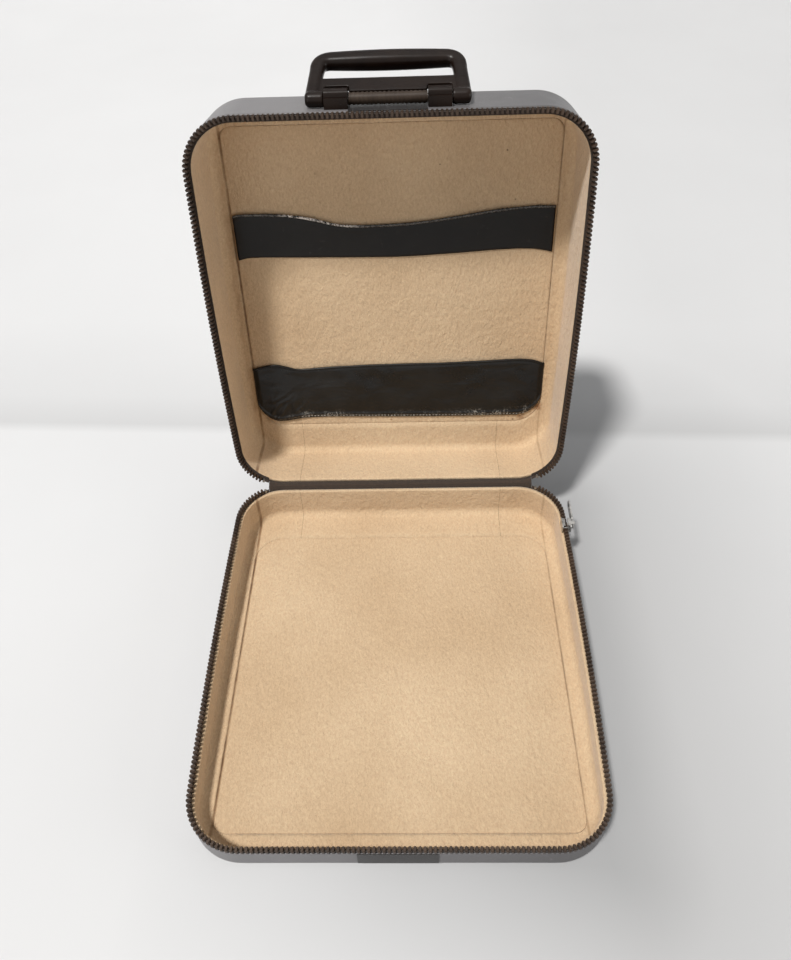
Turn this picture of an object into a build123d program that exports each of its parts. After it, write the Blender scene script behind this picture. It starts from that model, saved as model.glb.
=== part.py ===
from build123d import *
import math
import os

# A zipped carrying case, open, with its lid standing behind the base tray.
# X runs to the right, Y to the back, Z up. The origin is at the middle of the base's underside.
# The lid is drawn closed, over the base, and then swung open about the hinge line.

# The closed case
case_width = 309.0
case_depth = 343.0
case_height = 105.0
corner_radius = 42.0
side_bow = 3.0
edge_radius = 8.5
front_parting = 30.5
hinge_parting = 43.5
open_angle = 100.0

# The layers of both halves, from the outside in
cover_thickness = 1.0
board_thickness = 2.5
lining_thickness = 1.5
lining_edge_radius = 7.0
layer_gap = 0.1
rim_distance = 5.4
fold_depth = 8.0
fold_thickness = 3.1
board_drop = 8.2
stripe_width = 58.0
stripe_thickness = 0.6

# The lining's pieces
seam_gap = 0.8
panel_side_inset = 12.0
panel_front_inset = 21.5
panel_back_inset = 37.5
panel_front_radius = 10.0
panel_back_radius = 25.0
back_piece_width = 197.0

# The sheets sewn over the lid's panel
sheet_thickness = 0.8
sheet_gap = 0.15
band_side_gap = 4.0
band_top = [251, 251, 247, 240, 241, 247, 252, 253]
band_bottom = [212, 213, 212, 211, 212, 214, 216, 213]
pocket_side_gap = 2.0
pocket_top = [102, 105, 101, 104, 105, 105, 106, 107, 103]
pocket_bottom = 44.0
pocket_corner = 25.0
stitch_length = 2.0
stitch_width = 0.5
stitch_height = 0.35
stitch_pitch = 3.2
stitches_left_distance = 75.5
stitches_right_distance = 10.5
stitch_edge_distance = 2.4

# The zip
zip_line = 1.5
tape_thickness = 0.8
tape_depth = 7.5
tape_edge = 1.8
tooth_pitch = 3.6
tooth_width = 4.4
tooth_length = 2.3
tooth_foot = 3.4
tooth_shoulder = 0.7
head_width = 3.4
head_length = 1.6
head_tip = 0.6
slot_width = 1.1
slot_top = 1.7
binding_thickness = 0.6
binding_gap = 0.1
binding_edge = 5.0
stop_width = 3.0
stop_length = 2.4
stop_top = 1.0
zip_end = 132.0
tape_end = 129.0

# The hinge strip
strip_width = 252.0
strip_edge = 0.6

# The zip's slider and its pull tab
slider_length = 12.0
slider_plate = 1.0
slider_half_height = 4.4
slider_corner = 1.6
slider_corner_distance = 11.0
channel_clearance = 1.0
lip_thickness = 0.8
nose_length = 0.9
nose_middle = 4.5
nose_bottom = 0.8
nose_top = 1.6
ear_half_width = 1.8
ear_thickness = 1.0
ear_inner = 2.6
tab_pin_radius = 0.7
tab_hole_radius = 0.8
tab_eye_radius = 1.6
tab_stand_off = 0.3
tab_length = 28.0
tab_width = 7.0
tab_thickness = 1.5
tab_neck_length = 4.0
tab_neck_half_width = 2.4
tab_window_width = 3.0
tab_window_length = 12.0

# The handle and what holds it to the lid's front wall
handle_height = 52.0
pivot_stand_off = 5.7
handle_lean = 65.0
ring_width = 123.0
ring_top_width = 117.0
ring_reach = 50.0
ring_thickness = 9.0
ring_corner_radius = 13.0
ring_edge_radius = 2.6
arm_width = 11.0
grip_radius = 6.8
grip_centre = 45.0
grip_length = 112.0
grip_end_round = 6.4
web_thickness = 5.0
web_top = 21.0
web_bottom = 5.6
lobe_radius = 5.2
lobe_end_round = 2.0
pin_radius = 2.0
pin_length = 121.0
fixed_clearance = 0.05
turning_clearance = 0.1
sleeve_length = 58.4
sleeve_radius = 4.4
sleeve_groove = 0.4
sleeve_ribs = 18
bracket_from = 29.5
bracket_to = 47.0
bracket_foot_height = 7.6
bracket_foot_half = 8.0
bracket_top_height = 12.6
bracket_top_half = 6.0
bracket_round = 3.0
bracket_notch = 11.2
bracket_side_clearance = 0.4
flange_reach = 20.0
flange_thickness = 2.0
rivet_spacing = 10.0
rivet_row = 14.0
rivet_radius = 1.5
rivet_head_radius = 2.6
rivet_head_height = 1.2
plate_length = 100.0
plate_height = 16.0
plate_thickness = 1.0
plate_clearance = 0.5

# Worked out from the sizes above
half_width = case_width / 2
half_depth = case_depth / 2
slope = (hinge_parting - front_parting) / case_depth
board_outer = cover_thickness + layer_gap
board_inner = board_outer + board_thickness
lining_outer = board_inner + layer_gap
lining_inner = lining_outer + lining_thickness
tape_outer = zip_line - tape_thickness / 2
tape_inner = zip_line + tape_thickness / 2
panel_front = panel_front_inset - half_depth
panel_back = half_depth - panel_back_inset
panel_half_width = half_width - panel_side_inset
band_half_width = panel_half_width - band_side_gap
pocket_half_width = panel_half_width - pocket_side_gap
far = 2 * case_depth

os.makedirs("parts", exist_ok=True)


def parting(y):
    """The height at which base and lid meet, which rises from the front to the hinge."""
    return front_parting + (y + half_depth) * slope


hinge_y = half_depth - zip_line
hinge_z = parting(hinge_y)
hinge_line = Axis((0, hinge_y, hinge_z), (1, 0, 0))


def opened(shape):
    """A piece of the lid, swung from closed to open."""
    return shape.rotate(hinge_line, -open_angle)


def write(name, shape):
    """Write one node's file."""
    export_step(shape, f"parts/{name}.step")


def box_between(low, high):
    """A box from one corner to the opposite one."""
    size = [end - start for start, end in zip(low, high)]
    middle = [(start + end) / 2 for start, end in zip(low, high)]
    return Pos(*middle) * Box(*size)


def rod(radius, length, x=0.0, y=0.0, z=0.0):
    """A round bar along X."""
    return Pos(x, y, z) * Rot(0, 90, 0) * Cylinder(radius, length)


# The body of the case

def plan_outline(inset):
    """The case seen from above: straight ends, slightly bowed sides and round corners."""
    front_left = (-half_width, -half_depth)
    front_right = (half_width, -half_depth)
    back_right = (half_width, half_depth)
    back_left = (-half_width, half_depth)
    edges = [
        Line(front_left, front_right),
        ThreePointArc(front_right, (half_width + side_bow, 0), back_right),
        Line(back_right, back_left),
        ThreePointArc(back_left, (-half_width - side_bow, 0), front_left),
    ]
    face = make_face(edges)
    face = fillet(face.vertices(), corner_radius)
    return offset(face, -inset) if inset else face


def body_block(inset, radius=None):
    """The whole closed case as a solid, drawn in by the inset on every side."""
    block = Pos(0, 0, inset) * extrude(plan_outline(inset), case_height - 2 * inset)
    ends = block.faces().sort_by(Axis.Z)
    return fillet(ends[0].edges() + ends[-1].edges(), radius or edge_radius - inset)


def shell(outer, inner):
    """The closed case's skin between two insets."""
    return body_block(outer) - body_block(inner)


def slab(low, high):
    """The space between two planes parallel to the parting plane, given by their distance over it."""
    corners = [
        (-far, parting(-far) + low),
        (far, parting(far) + low),
        (far, parting(far) + high),
        (-far, parting(-far) + high),
    ]
    return extrude(Plane.YZ * make_face(Polyline(*corners, close=True)), far, both=True)


def base_side(start, end=far):
    """The space from one distance under the parting plane to another."""
    return slab(-end, -start)


def lid_side(start, end=far):
    """The space from one distance over the parting plane to another."""
    return slab(start, end)


def hinge_end(width):
    """The space round the middle of the back wall."""
    return box_between((-width / 2, panel_back - seam_gap, -far), (width / 2, far, far))


def lining_layer(side):
    """The whole felt lining of one half, folded out over the board's edge at the rim."""
    room = body_block(lining_inner, lining_edge_radius)
    felt = (body_block(lining_outer) - room) & side(rim_distance)
    fold = shell(lining_inner - fold_thickness, lining_outer + layer_gap)
    return felt + (fold & side(rim_distance, rim_distance + fold_depth))


def panel_column(grow):
    """A column over the outline of the lining's large flat piece, which has tighter corners in front."""
    corners = [
        (-panel_half_width, panel_front),
        (panel_half_width, panel_front),
        (panel_half_width, panel_back),
        (-panel_half_width, panel_back),
    ]
    face = make_face(Polyline(*corners, close=True))
    by_depth = face.vertices().sort_by(Axis.Y)
    face = fillet(by_depth[:2], panel_front_radius)
    back_corners = [v for v in face.vertices() if v.Y > panel_back - seam_gap]
    face = fillet(back_corners, panel_back_radius)
    return extrude(offset(face, grow), far, both=True)


def lining_pieces(side):
    """The three sewn pieces of one half's lining: the flat piece, the walls and the back."""
    felt = lining_layer(side)
    flat = felt & panel_column(-seam_gap / 2)
    rest = felt - panel_column(seam_gap / 2)
    walls = rest - hinge_end(back_piece_width + seam_gap)
    back = rest & hinge_end(back_piece_width - seam_gap)
    return flat, walls, back


def hinge_leaf(side):
    """The part of the flexible hinge strip that is glued into one half."""
    strip = shell(tape_outer, tape_inner) & side(strip_edge, rim_distance + tape_depth)
    return strip & hinge_end(strip_width)


# The handle, drawn with its pivot at the origin, X along the pin and Y along its arms

def handle_ring():
    """The moulded handle: two arms and a grip, with a thinner web that clears the brackets."""
    corners = [
        (-ring_width / 2, 0),
        (ring_width / 2, 0),
        (ring_top_width / 2, ring_reach),
        (-ring_top_width / 2, ring_reach),
    ]
    outer = make_face(Polyline(*corners, close=True))
    outer = fillet(outer.vertices().sort_by(Axis.Y)[2:], ring_corner_radius)
    opening_width = ring_width - 2 * arm_width
    opening_top = grip_centre - grip_radius
    opening = Pos(0, opening_top / 2) * Rectangle(opening_width, opening_top)
    arms = extrude(outer - opening, ring_thickness / 2, both=True)
    flats = arms.faces().sort_by(Axis.Z)
    arms = fillet(flats[0].edges() + flats[-1].edges(), ring_edge_radius)
    grip = fillet(rod(grip_radius, grip_length).edges(), grip_end_round)
    lobes = fillet(rod(lobe_radius, ring_width).edges(), lobe_end_round)
    web = box_between(
        (-ring_width / 2 + arm_width / 2, web_bottom, -web_thickness / 2),
        (ring_width / 2 - arm_width / 2, web_top, web_thickness / 2),
    )
    ring = arms + Pos(0, grip_centre, 0) * grip + web + lobes
    notch_from = bracket_from - bracket_side_clearance
    notch_to = bracket_to + bracket_side_clearance
    for side in (-1, 1):
        near, distant = sorted((side * notch_from, side * notch_to))
        ring -= box_between((near, -far, -far), (distant, bracket_notch, far))
    ring -= box_between((-notch_from - 1, -far, -far), (notch_from + 1, web_bottom, far))
    return ring - rod(pin_radius + turning_clearance, case_width)


def ribbed_sleeve():
    """The moulded sleeve on the pin between the brackets, with a groove after each rib."""
    bore = pin_radius + fixed_clearance
    rib_pitch = sleeve_length / sleeve_ribs
    points = [(-sleeve_length / 2, bore)]
    for rib in range(sleeve_ribs):
        start = -sleeve_length / 2 + rib * rib_pitch
        points.append((start, sleeve_radius))
        points.append((start + rib_pitch / 2, sleeve_radius))
        points.append((start + rib_pitch / 2, sleeve_radius - sleeve_groove))
        points.append((start + rib_pitch, sleeve_radius - sleeve_groove))
    points.append((sleeve_length / 2, bore))
    return revolve(make_face(Polyline(*points, close=True)), Axis.X)


# Where the handle's pieces stand on the closed lid's front wall

wall_y = -half_depth
pivot_y = wall_y - pivot_stand_off
rivet_z = handle_height + rivet_row
bracket_middle = (bracket_from + bracket_to) / 2


def on_pivot(shape):
    """Move a piece drawn about the origin to the handle's pivot."""
    return Pos(0, pivot_y, handle_height) * shape


def leaning(shape):
    """Put the handle on its pivot, leaning towards the lid's top."""
    lean = math.radians(handle_lean)
    plane = Plane(
        origin=(0, pivot_y, handle_height),
        x_dir=(1, 0, 0),
        z_dir=(0, -math.sin(lean), -math.cos(lean)),
    )
    return plane.location * shape


def bracket(side):
    """One bracket: a stepped block round the pin, with a riveted flange."""
    near, distant = sorted((side * bracket_from, side * bracket_to))
    foot = box_between(
        (near, wall_y - bracket_foot_height, handle_height - bracket_foot_half),
        (distant, wall_y, handle_height + bracket_foot_half),
    )
    top = box_between(
        (near, wall_y - bracket_top_height, handle_height - bracket_top_half),
        (distant, wall_y, handle_height + bracket_top_half),
    )
    crest = top.edges().filter_by(Axis.X).sort_by(Axis.Y)[:2]
    top = fillet(crest, bracket_round)
    flange = box_between(
        (near, wall_y - flange_thickness, handle_height),
        (distant, wall_y, handle_height + flange_reach),
    )
    corners = flange.edges().filter_by(Axis.Y).sort_by(Axis.Z)[-2:]
    flange = fillet(corners, bracket_round)
    block = foot + top + flange
    block -= on_pivot(rod(pin_radius + fixed_clearance, case_width))
    return block - rivet_holes()


def rivet_places():
    """The middle of each rivet on the wall's face."""
    for side in (-1, 1):
        for step in (-rivet_spacing / 2, rivet_spacing / 2):
            yield side * bracket_middle + step, rivet_z


def rivet_holes():
    """What is drilled out of the pieces that the rivets join."""
    drills = [
        Pos(x, wall_y, z) * Rot(90, 0, 0) * Cylinder(rivet_radius + fixed_clearance, 2 * edge_radius)
        for x, z in rivet_places()
    ]
    return Part() + drills


def rivets():
    """The rivets: a domed head on the flange and a shank through to the backing plate."""
    pieces = []
    shank_length = flange_thickness + board_inner - layer_gap / 2
    for x, z in rivet_places():
        shank = Cylinder(rivet_radius, shank_length, align=(Align.CENTER, Align.CENTER, Align.MAX))
        head = Cylinder(
            rivet_head_radius,
            rivet_head_height,
            align=(Align.CENTER, Align.CENTER, Align.MIN),
        )
        crown = head.edges().filter_by(GeomType.CIRCLE).sort_by(Axis.Z)[-1]
        head = fillet(crown, rivet_head_height * 0.8)
        seat = Plane(origin=(x, wall_y - flange_thickness, z), x_dir=(1, 0, 0), z_dir=(0, -1, 0))
        pieces.append((seat.location * (shank + head)).solid())
    return Compound(pieces)


def plate_block(thickness, grow):
    """The backing plate, or with a growth the recess that it lies in."""
    sketch = RectangleRounded(plate_length + 2 * grow, plate_height + 2 * grow, bracket_round)
    depth = board_inner - layer_gap
    seat = Plane(origin=(0, wall_y + depth + grow, rivet_z), x_dir=(1, 0, 0), z_dir=(0, -1, 0))
    return extrude(seat.location * sketch, thickness + grow + min(grow, layer_gap))


# The pieces of both halves

def base_nodes():
    """Everything fixed to the base."""
    flat, walls, back = lining_pieces(base_side)
    stripe = shell(-stripe_thickness, 0) & base_side(rim_distance)
    stripe &= box_between((-stripe_width / 2, -far, edge_radius), (stripe_width / 2, far, far))
    return {
        "base_cover": shell(0, cover_thickness) & base_side(rim_distance),
        "base_board": shell(board_outer, board_inner) & base_side(rim_distance + board_drop),
        "base_lining_floor": flat,
        "base_lining_walls": walls,
        "base_lining_back": back,
        "base_stripe": stripe,
        "hinge_strip_lower": hinge_leaf(base_side),
    }


def lid_nodes():
    """Everything fixed to the lid, drawn closed."""
    flat, walls, back = lining_pieces(lid_side)
    stripe = shell(-stripe_thickness, 0) & lid_side(rim_distance)
    stripe &= box_between((-stripe_width / 2, -far, -far), (stripe_width / 2, far, far))
    board = shell(board_outer, board_inner) & lid_side(rim_distance + board_drop)
    return {
        "lid_cover": (shell(0, cover_thickness) & lid_side(rim_distance)) - rivet_holes(),
        "lid_board": board - plate_block(plate_thickness, plate_clearance) - rivet_holes(),
        "lid_lining_panel": flat,
        "lid_lining_walls": walls,
        "lid_lining_back": back,
        "lid_stripe": stripe,
        "hinge_strip_upper": hinge_leaf(lid_side),
        "upper_band": upper_band(),
        "lower_pocket": lower_pocket(),
        "pocket_stitches": pocket_stitches(),
        "handle_bracket_left": bracket(-1),
        "handle_bracket_right": bracket(1),
        "handle_rivets": rivets(),
        "handle_backing_plate": plate_block(plate_thickness, 0) - rivet_holes(),
        "handle_pin": on_pivot(rod(pin_radius, pin_length)),
        "handle_sleeve": on_pivot(ribbed_sleeve()),
        "handle_ring": leaning(handle_ring()),
    }


# The sheets on the lid's panel. Heights are distances from the hinge end of the case.

def sheet(edges):
    """A thin sheet just under the panel's felt, from the edges of its outline."""
    face = Pos(0, 0, case_height - lining_inner - sheet_gap) * make_face(edges)
    return extrude(face, sheet_thickness, dir=(0, 0, -1))


def wavy_edge(half_span, heights):
    """A sagging edge through evenly spaced heights, from left to right."""
    step = 2 * half_span / (len(heights) - 1)
    points = [
        (-half_span + index * step, half_depth - height)
        for index, height in enumerate(heights)
    ]
    return Spline(*points)


def upper_band():
    """The upper black band, which sags in the middle."""
    top = wavy_edge(band_half_width, band_top)
    bottom = wavy_edge(band_half_width, band_bottom)
    return sheet([top, bottom, Line(top @ 0, bottom @ 0), Line(top @ 1, bottom @ 1)])


def lower_pocket():
    """The lower black pocket: open at its wavy top edge, with two round bottom corners."""
    half = pocket_half_width
    top = wavy_edge(half, pocket_top)
    low = half_depth - pocket_bottom
    turn = low - pocket_corner
    inner = half - pocket_corner
    left = RadiusArc((-half, turn), (-inner, low), pocket_corner)
    right = RadiusArc((inner, low), (half, turn), pocket_corner)
    edges = [
        top,
        Line(top @ 0, (-half, turn)),
        left,
        Line((-inner, low), (inner, low)),
        right,
        Line((half, turn), top @ 1),
    ]
    return sheet(edges)


def pocket_stitches():
    """The row of long stitches inside the pocket's bottom edge."""
    under = case_height - lining_inner - sheet_gap - sheet_thickness - stitch_height / 2
    y = half_depth - pocket_bottom - stitch_edge_distance
    start = stitches_left_distance - pocket_half_width
    end = pocket_half_width - stitches_right_distance
    count = math.floor((end - start) / stitch_pitch)
    stitch = Box(stitch_length, stitch_width, stitch_height)
    return Compound([
        (Pos(start + index * stitch_pitch, y, under) * stitch).solid()
        for index in range(count)
    ])


# The zip. Each half's teeth stand on the edge of its tape and point across the parting plane.

def clamp(width, length, top, foot=tooth_foot):
    """What grips the tape's edge: a block slotted from below. X runs along the zip, Y through it."""
    block = extrude(Pos(0, 0, -foot) * SlotOverall(width, length, rotation=90), foot - top)
    slot = box_between((-length, -slot_width / 2, -2 * foot), (length, slot_width / 2, -slot_top))
    return block - slot


def tooth():
    """One moulded tooth with its locking head."""
    head = Pos(0, 0, -tooth_shoulder) * SlotOverall(head_width, head_length, rotation=90)
    return clamp(tooth_width, tooth_length, tooth_shoulder) + extrude(head, tooth_shoulder + head_tip)


def stop():
    """One clamped stop at the end of a row of teeth."""
    return clamp(stop_width, stop_length, stop_top)


def zip_seats(shift, up):
    """Seats for the teeth of one half, spaced round the rim by length, but not over the hinge."""
    rim = plan_outline(zip_line).wire()
    count = round(rim.length / tooth_pitch)
    seats = []
    for index in range(count):
        share = (index + shift) / count
        point = rim.position_at(share)
        if point.Y > panel_back and abs(point.X) < zip_end:
            continue
        along = rim.tangent_at(share)
        seats.append(Plane(
            origin=(point.X, point.Y, parting(point.Y)),
            x_dir=(along.X, along.Y, along.Y * slope),
            z_dir=(0, -slope * up, up),
        ))
    return seats


def end_seats(seats):
    """The last seat at each end of the zip, where a stop sits."""
    behind = [seat for seat in seats if seat.origin.Y > panel_back]
    left = max((seat for seat in behind if seat.origin.X < 0), key=lambda seat: seat.origin.X)
    right = min((seat for seat in behind if seat.origin.X > 0), key=lambda seat: seat.origin.X)
    return [left, right]


def placed(piece, seats):
    """Copies of one piece, one on each seat."""
    return Compound([(seat.location * piece).solid() for seat in seats])


def zip_tape(side):
    """One half's tape, from behind the cover to the teeth, open over the hinge."""
    tape = shell(tape_outer, tape_inner) & side(tape_edge, rim_distance + tape_depth)
    return tape - hinge_end(2 * tape_end)


def rim_binding():
    """The part of the lid's tape that is turned in over the felt at the rim."""
    top = rim_distance - binding_gap
    band = shell(tape_outer, binding_edge) & lid_side(top - binding_thickness, top)
    return band - hinge_end(2 * tape_end)


def zip_nodes():
    """The tapes, teeth and stops. The lid's teeth are half a pitch along from the base's."""
    base_seats = zip_seats(0, 1)
    lid_seats = zip_seats(0.5, -1)
    base_ends = end_seats(base_seats)
    lid_ends = end_seats(lid_seats)
    base_teeth = [seat for seat in base_seats if seat not in base_ends]
    lid_teeth = [seat for seat in lid_seats if seat not in lid_ends]
    base = {
        "zip_tape_base": zip_tape(base_side),
        "zip_teeth_base": placed(tooth(), base_teeth),
        "zip_stops_base": placed(stop(), base_ends),
    }
    lid = {
        "zip_tape_lid": zip_tape(lid_side) + rim_binding(),
        "zip_teeth_lid": placed(tooth(), lid_teeth),
        "zip_stops_lid": placed(stop(), lid_ends),
    }
    return base, lid


# The slider, drawn about its own middle: X towards the front, Y out of the case, Z over the parting

def side_line(y):
    """How far from the middle the zip runs along the right side."""
    bow_radius = (half_depth ** 2 + side_bow ** 2) / (2 * side_bow)
    centre = half_width + side_bow - bow_radius
    return centre + math.sqrt((bow_radius - zip_line) ** 2 - y ** 2)


slider_limit = half_depth - corner_radius - slider_corner_distance
slider_x = (side_line(0) + side_line(slider_limit)) / 2
channel_half = tooth_width / 2 + channel_clearance
tab_pin_y = channel_half + slider_plate + tab_stand_off + tab_eye_radius


def slider_run():
    """Where the slider stands at both ends of its straight run, with its nose over a base tooth."""
    lead = nose_middle / math.hypot(1, slope)
    places = [seat.origin.Y + lead for seat in zip_seats(0, 1) if seat.origin.X > 0]
    inside = [y for y in places if abs(y) < slider_limit]
    return max(inside), min(inside)


def slider_place():
    """The parked slider's plane, which follows the sloping rim."""
    parked = slider_run()[0]
    return Plane(
        origin=(slider_x, parked, parting(parked)),
        x_dir=(0, -1, -slope),
        z_dir=(0, -slope, 1),
    )


def zip_slider():
    """The slider: two plates with lips round the teeth, a nose between them and ears with a pin."""
    length = slider_length / 2
    lip_reach = tape_thickness / 2 + channel_clearance
    plate = box_between(
        (-length, channel_half, -slider_half_height),
        (length, channel_half + slider_plate, slider_half_height),
    )
    plate = fillet(plate.edges().filter_by(Axis.Y), slider_corner)
    lip_half_length = length - slider_corner
    lip = box_between(
        (-lip_half_length, lip_reach, slider_half_height - lip_thickness),
        (lip_half_length, channel_half + slider_plate, slider_half_height),
    )
    wing = plate + lip + mirror(lip, Plane.XY)
    nose = box_between(
        (nose_middle - nose_length / 2, -channel_half - slider_plate / 2, nose_bottom),
        (nose_middle + nose_length / 2, channel_half + slider_plate / 2, nose_top),
    )
    ear = box_between(
        (-ear_half_width, channel_half + slider_plate / 2, ear_inner),
        (ear_half_width, tab_pin_y + ear_half_width, ear_inner + ear_thickness),
    )
    ear = fillet(ear.edges().filter_by(Axis.Z).sort_by(Axis.Y)[-2:], ear_half_width * 0.9)
    pin = Pos(0, tab_pin_y, 0) * Cylinder(tab_pin_radius, 2 * ear_inner + ear_thickness)
    return wing + mirror(wing, Plane.XZ) + nose + ear + mirror(ear, Plane.XY) + pin


def pull_tab():
    """The flat pull tab, with an eye round the slider's pin and a long window."""
    eye = Cylinder(tab_eye_radius, 2 * tab_neck_half_width)
    half_thickness = tab_thickness / 2
    neck = box_between(
        (-tab_neck_length - 1, -half_thickness, -tab_neck_half_width),
        (0, half_thickness, tab_neck_half_width),
    )
    blade = box_between(
        (-tab_length, -half_thickness, -tab_width / 2),
        (-tab_neck_length, half_thickness, tab_width / 2),
    )
    blade = fillet(blade.edges().filter_by(Axis.Y), tab_neck_half_width)
    window_middle = -(tab_length + tab_neck_length) / 2
    window = extrude(
        Plane.XZ * Pos(window_middle, 0) * SlotOverall(tab_window_length, tab_window_width),
        tab_width,
        both=True,
    )
    hole = Cylinder(tab_hole_radius, tab_width)
    return Pos(0, tab_pin_y, 0) * (eye + neck + blade - window - hole)


def slider_nodes():
    """The slider and its tab, parked at the hinge end of the right side."""
    place = slider_place().location
    return {
        "zip_slider": place * zip_slider(),
        "zip_pull_tab": place * pull_tab(),
    }


def print_joints():
    """Print the joints' places and the ranges' lengths, in millimetres."""
    pivot = opened(on_pivot(rod(pin_radius, pin_length))).center()
    place = slider_place()
    tab_pin = place.from_local_coords((0, tab_pin_y, 0))
    print("hinge line", hinge_y, hinge_z)
    print("handle pivot", pivot.Y, pivot.Z)
    parked, last = slider_run()
    travel = (parked - last) * math.hypot(1, slope)
    print("slider", place.origin, "axis", place.x_dir, "travel", travel)
    print("tab pin", tab_pin, "axis", -place.z_dir)


def main():
    """Write every node, with the lid's pieces swung open."""
    base_zip, lid_zip = zip_nodes()
    for name, shape in {**base_nodes(), **base_zip, **slider_nodes()}.items():
        write(name, shape)
    for name, shape in {**lid_nodes(), **lid_zip}.items():
        write(name, opened(shape))
    print_joints()


main()
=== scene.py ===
import math

import bmesh
import bpy
from mathutils import Matrix, Vector, noise


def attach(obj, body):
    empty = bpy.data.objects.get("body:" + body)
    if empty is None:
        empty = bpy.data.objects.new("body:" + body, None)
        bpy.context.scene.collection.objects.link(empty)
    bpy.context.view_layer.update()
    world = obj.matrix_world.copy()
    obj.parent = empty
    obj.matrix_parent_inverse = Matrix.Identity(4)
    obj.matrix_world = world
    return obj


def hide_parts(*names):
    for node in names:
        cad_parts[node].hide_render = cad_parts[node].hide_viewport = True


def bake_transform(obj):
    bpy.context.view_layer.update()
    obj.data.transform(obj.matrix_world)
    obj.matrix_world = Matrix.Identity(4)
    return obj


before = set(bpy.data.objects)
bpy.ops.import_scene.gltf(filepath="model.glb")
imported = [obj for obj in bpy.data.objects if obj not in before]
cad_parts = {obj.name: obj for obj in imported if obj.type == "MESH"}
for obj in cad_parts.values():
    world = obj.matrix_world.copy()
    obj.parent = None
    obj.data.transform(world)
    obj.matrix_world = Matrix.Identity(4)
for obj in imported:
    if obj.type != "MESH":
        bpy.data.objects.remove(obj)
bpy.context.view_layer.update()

mm = 0.001
quarter_turn = math.pi / 2

# The closed case, in metres, as the frame's solids have it
case_width = 309.0 * mm
case_depth = 343.0 * mm
case_height = 105.0 * mm
corner_radius = 42.0 * mm
side_bow = 3.0 * mm
edge_radius = 8.5 * mm
cover_thickness = 1.0 * mm
lining_radius = 7.0 * mm
front_parting = 30.5 * mm
hinge_parting = 43.5 * mm
rim_distance = 5.4 * mm
zip_line = 1.5 * mm
tape_depth = 7.5 * mm
tape_thickness = 0.8 * mm
board_face = 3.65 * mm
lining_face = 5.2 * mm
fold_reach = 2.1 * mm
open_angle = math.radians(100.0)

half_width = case_width / 2
half_depth = case_depth / 2
slope = (hinge_parting - front_parting) / case_depth
rim_spacing = 3.0 * mm

# The lining's seams
seam_gap = 0.2 * mm
seam_side = 14.5 * mm
seam_front = 21.5 * mm
seam_back = 37.5 * mm
seam_front_radius = 10.0 * mm
seam_back_radius = 25.0 * mm
back_piece_half = 98.5 * mm

# What the sheets were cut from, as width and length
wall_cut = (1050.0 * mm, 115.0 * mm)
back_cut = (200.0 * mm, 125.0 * mm)
panel_cut = (291.0 * mm, 291.0 * mm)
base_cover_cut = (400.0 * mm, 430.0 * mm)
lid_cover_cut = (480.0 * mm, 520.0 * mm)

# The photograph's camera
image_height = 960
focal_pixels = 800.0
camera_place = Vector((17.9, -371.2, 613.2)) * mm
camera_yaw = math.radians(-2.31)
camera_pitch = math.radians(46.15)
camera_roll = math.radians(-2.49)
sensor_width = 36.0

# The surround's strength as light, and as the background that is seen or mirrored
surround_light = 0.11
surround_seen = 0.84


def parting(y):
    """The height at which base and lid meet."""
    return front_parting + (y + half_depth) * slope


hinge = Vector((0, half_depth - zip_line, parting(half_depth - zip_line)))
opening = Matrix.Translation(hinge) @ Matrix.Rotation(-open_angle, 4, "X") @ Matrix.Translation(-hinge)


# Camera, light and stage

def add_camera():
    """The photograph's camera, from its place and its three turns."""
    forward = Vector((
        math.sin(camera_yaw) * math.cos(camera_pitch),
        math.cos(camera_yaw) * math.cos(camera_pitch),
        -math.sin(camera_pitch),
    ))
    level = Vector((math.cos(camera_yaw), -math.sin(camera_yaw), 0))
    upright = level.cross(forward)
    right = level * math.cos(camera_roll) + upright * math.sin(camera_roll)
    up = -level * math.sin(camera_roll) + upright * math.cos(camera_roll)
    data = bpy.data.cameras.new("camera")
    data.sensor_fit = "AUTO"
    data.sensor_width = sensor_width
    data.lens = focal_pixels * sensor_width / image_height
    data.clip_start = 0.01
    data.clip_end = 50.0
    camera = bpy.data.objects.new("camera", data)
    bpy.context.collection.objects.link(camera)
    turn = Matrix((right, up, -forward)).transposed().to_4x4()
    camera.matrix_world = Matrix.Translation(camera_place) @ turn
    bpy.context.scene.camera = camera


def add_light(name, kind, power, colour, line, axis):
    """A light of one kind, with one of its axes turned along a line."""
    data = bpy.data.lights.new(name, kind)
    data.energy = power
    data.color = colour
    light = bpy.data.objects.new(name, data)
    bpy.context.collection.objects.link(light)
    light.rotation_mode = "QUATERNION"
    light.rotation_quaternion = line.to_track_quat(axis, "Y")
    return light


def add_lamp(name, place, target, size, power, colour):
    """A square soft lamp that looks at a point."""
    lamp = add_light(name, "AREA", power, colour, Vector(target) - Vector(place), "-Z")
    lamp.location = place
    lamp.data.shape = "SQUARE"
    lamp.data.size = size


def background_rays(tree):
    """One for the rays that show the background itself: seen, mirrored or passed through glass."""
    rays = tree.nodes.new("ShaderNodeLightPath")
    shown = rays.outputs["Is Camera Ray"]
    for kind in ("Is Glossy Ray", "Is Transmission Ray"):
        either = tree.nodes.new("ShaderNodeMath")
        either.operation = "MAXIMUM"
        tree.links.new(shown, either.inputs[0])
        tree.links.new(rays.outputs[kind], either.inputs[1])
        shown = either.outputs["Value"]
    return shown


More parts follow.
